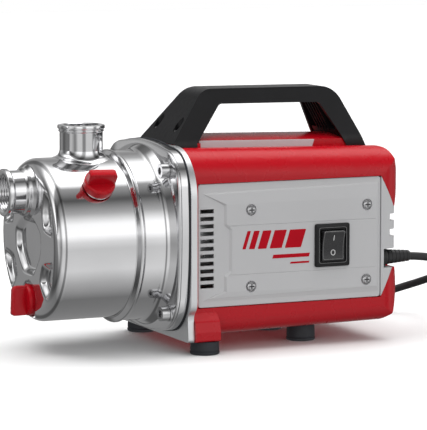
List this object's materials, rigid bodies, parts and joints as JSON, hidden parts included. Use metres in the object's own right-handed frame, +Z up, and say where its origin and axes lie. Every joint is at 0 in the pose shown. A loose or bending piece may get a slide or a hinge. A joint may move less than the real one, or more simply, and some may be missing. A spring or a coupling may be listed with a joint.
{
  "type": "shallow well jet pump",
  "caption": "Shallow well jet pump: stainless pump casing with threaded inlet and outlet, hand plugs, enclosed motor with side panels, rocker switch, carry handle and mains cord.",
  "frame": {"origin": "bottom centre of the pump without its mains cord, on the floor", "axes": "+X along the shaft from the suction side to the motor rear, -Y towards the switch side, +Z up"},
  "size_m": [0.4366, 0.288, 0.2227],
  "materials": {
    "polished_steel": "mirror-polished stainless sheet",
    "zinc_screws": "bright zinc-plated steel",
    "cast_aluminium": "smooth die-cast, machined edges",
    "red_plastic": "glossy moulded red",
    "grey_plastic": "fine-grained light grey",
    "black_plastic": "satin black",
    "black_gloss": "glossy black",
    "moulded_insert": "glass-filled moulding",
    "brass": "turned",
    "black_rubber": "matt rubber",
    "cord_rubber": "matt rubber sheath",
    "nickel_pins": "nickel-plated",
    "ground_steel": "ground steel",
    "lamination_steel": "stacked laminations",
    "copper_windings": "varnished copper wire",
    "ceramic_seat": "fine ceramic"
  },
  "bodies": {
    "pump": {"back_plate": "polished_steel", "capacitor": "black_plastic", "casing_gasket": "black_rubber", "clamp_flange": "polished_steel", "cord_coil": "cord_rubber", "cord_gland": "cord_rubber", "cord_tie": "cord_rubber", "diffuser": "moulded_insert", "drain_boss": "polished_steel", "fill_boss": "polished_steel", "flange_screws": "zinc_screws", "flange_washers": "zinc_screws", "foot_screws": "zinc_screws", "front_bearing": "ground_steel", "front_feet": "black_rubber", "handle": "black_plastic", "handle_screws": "zinc_screws", "hood": "red_plastic", "inlet_port": "polished_steel", "jet_nozzle": "brass", "mains_plug": "cord_rubber", "motor_bracket": "cast_aluminium", "motor_frame": "cast_aluminium", "outlet_port": "polished_steel", "panel_screws_left": "zinc_screws", "panel_screws_right": "zinc_screws", "plug_lead": "cord_rubber", "plug_pins": "nickel_pins", "power_cord": "cord_rubber", "pump_casing": "polished_steel", "rear_bearing": "ground_steel", "rear_feet": "black_rubber", "rear_grille": "grey_plastic", "rear_shield": "cast_aluminium", "seal_seat": "ceramic_seat", "side_panel_left": "grey_plastic", "side_panel_right": "grey_plastic", "stator_core": "lamination_steel", "stator_windings": "copper_windings", "suction_elbow": "moulded_insert", "switch_frame": "black_plastic", "terminal_block": "black_plastic", "tie_bolts": "zinc_screws", "top_trims": "grey_plastic", "tray": "red_plastic", "venturi_tube": "moulded_insert", "wave_washer": "zinc_screws"},
    "rotor": {"motor_shaft": "ground_steel", "rotor_core": "lamination_steel", "impeller": "moulded_insert", "impeller_nut": "zinc_screws", "cooling_fan": "black_plastic", "rotary_seal": "ground_steel"},
    "rocker": {"switch_rocker": "black_gloss"},
    "fill_seal": {"fill_plug_seal": "black_rubber"},
    "fill_knob": {"fill_plug": "red_plastic"},
    "drain_seal": {"drain_plug_seal": "black_rubber"},
    "drain_knob": {"drain_plug": "red_plastic"}
  },
  "joints": [
    {"name": "rotor_spin", "type": "hinge", "parent": "pump", "child": "rotor", "pos_m": [0.0233, 0, 0.0967], "axis": [1, 0, 0], "continuous": true},
    {"name": "switch_rock", "type": "hinge", "parent": "pump", "child": "rocker", "pos_m": [0.1028, -0.071, 0.088], "axis": [-1, 0, 0], "range_deg": [0, 14]},
    {"name": "fill_plug_out", "type": "slide", "parent": "pump", "child": "fill_seal", "axis": [0, -0.7254, 0.6884], "range_m": [0, 0.00935]},
    {"name": "fill_plug_turn", "type": "hinge", "parent": "fill_seal", "child": "fill_knob", "pos_m": [-0.1067, 0, 0.0967], "axis": [0, -0.7254, 0.6884], "range_deg": [0, 2520]},
    {"name": "drain_plug_out", "type": "slide", "parent": "pump", "child": "drain_seal", "axis": [-1, 0, 0], "range_m": [0, 0.00935]},
    {"name": "drain_plug_turn", "type": "hinge", "parent": "drain_seal", "child": "drain_knob", "pos_m": [-0.1507, 0, 0.0453], "axis": [-1, 0, 0], "range_deg": [0, 2520]}
  ],
  "couplings": [
    {"joint": "fill_plug_turn", "follows": "fill_plug_out", "rad_per_m": 4699.5},
    {"joint": "drain_plug_turn", "follows": "drain_plug_out", "rad_per_m": 4699.5}
  ]
}
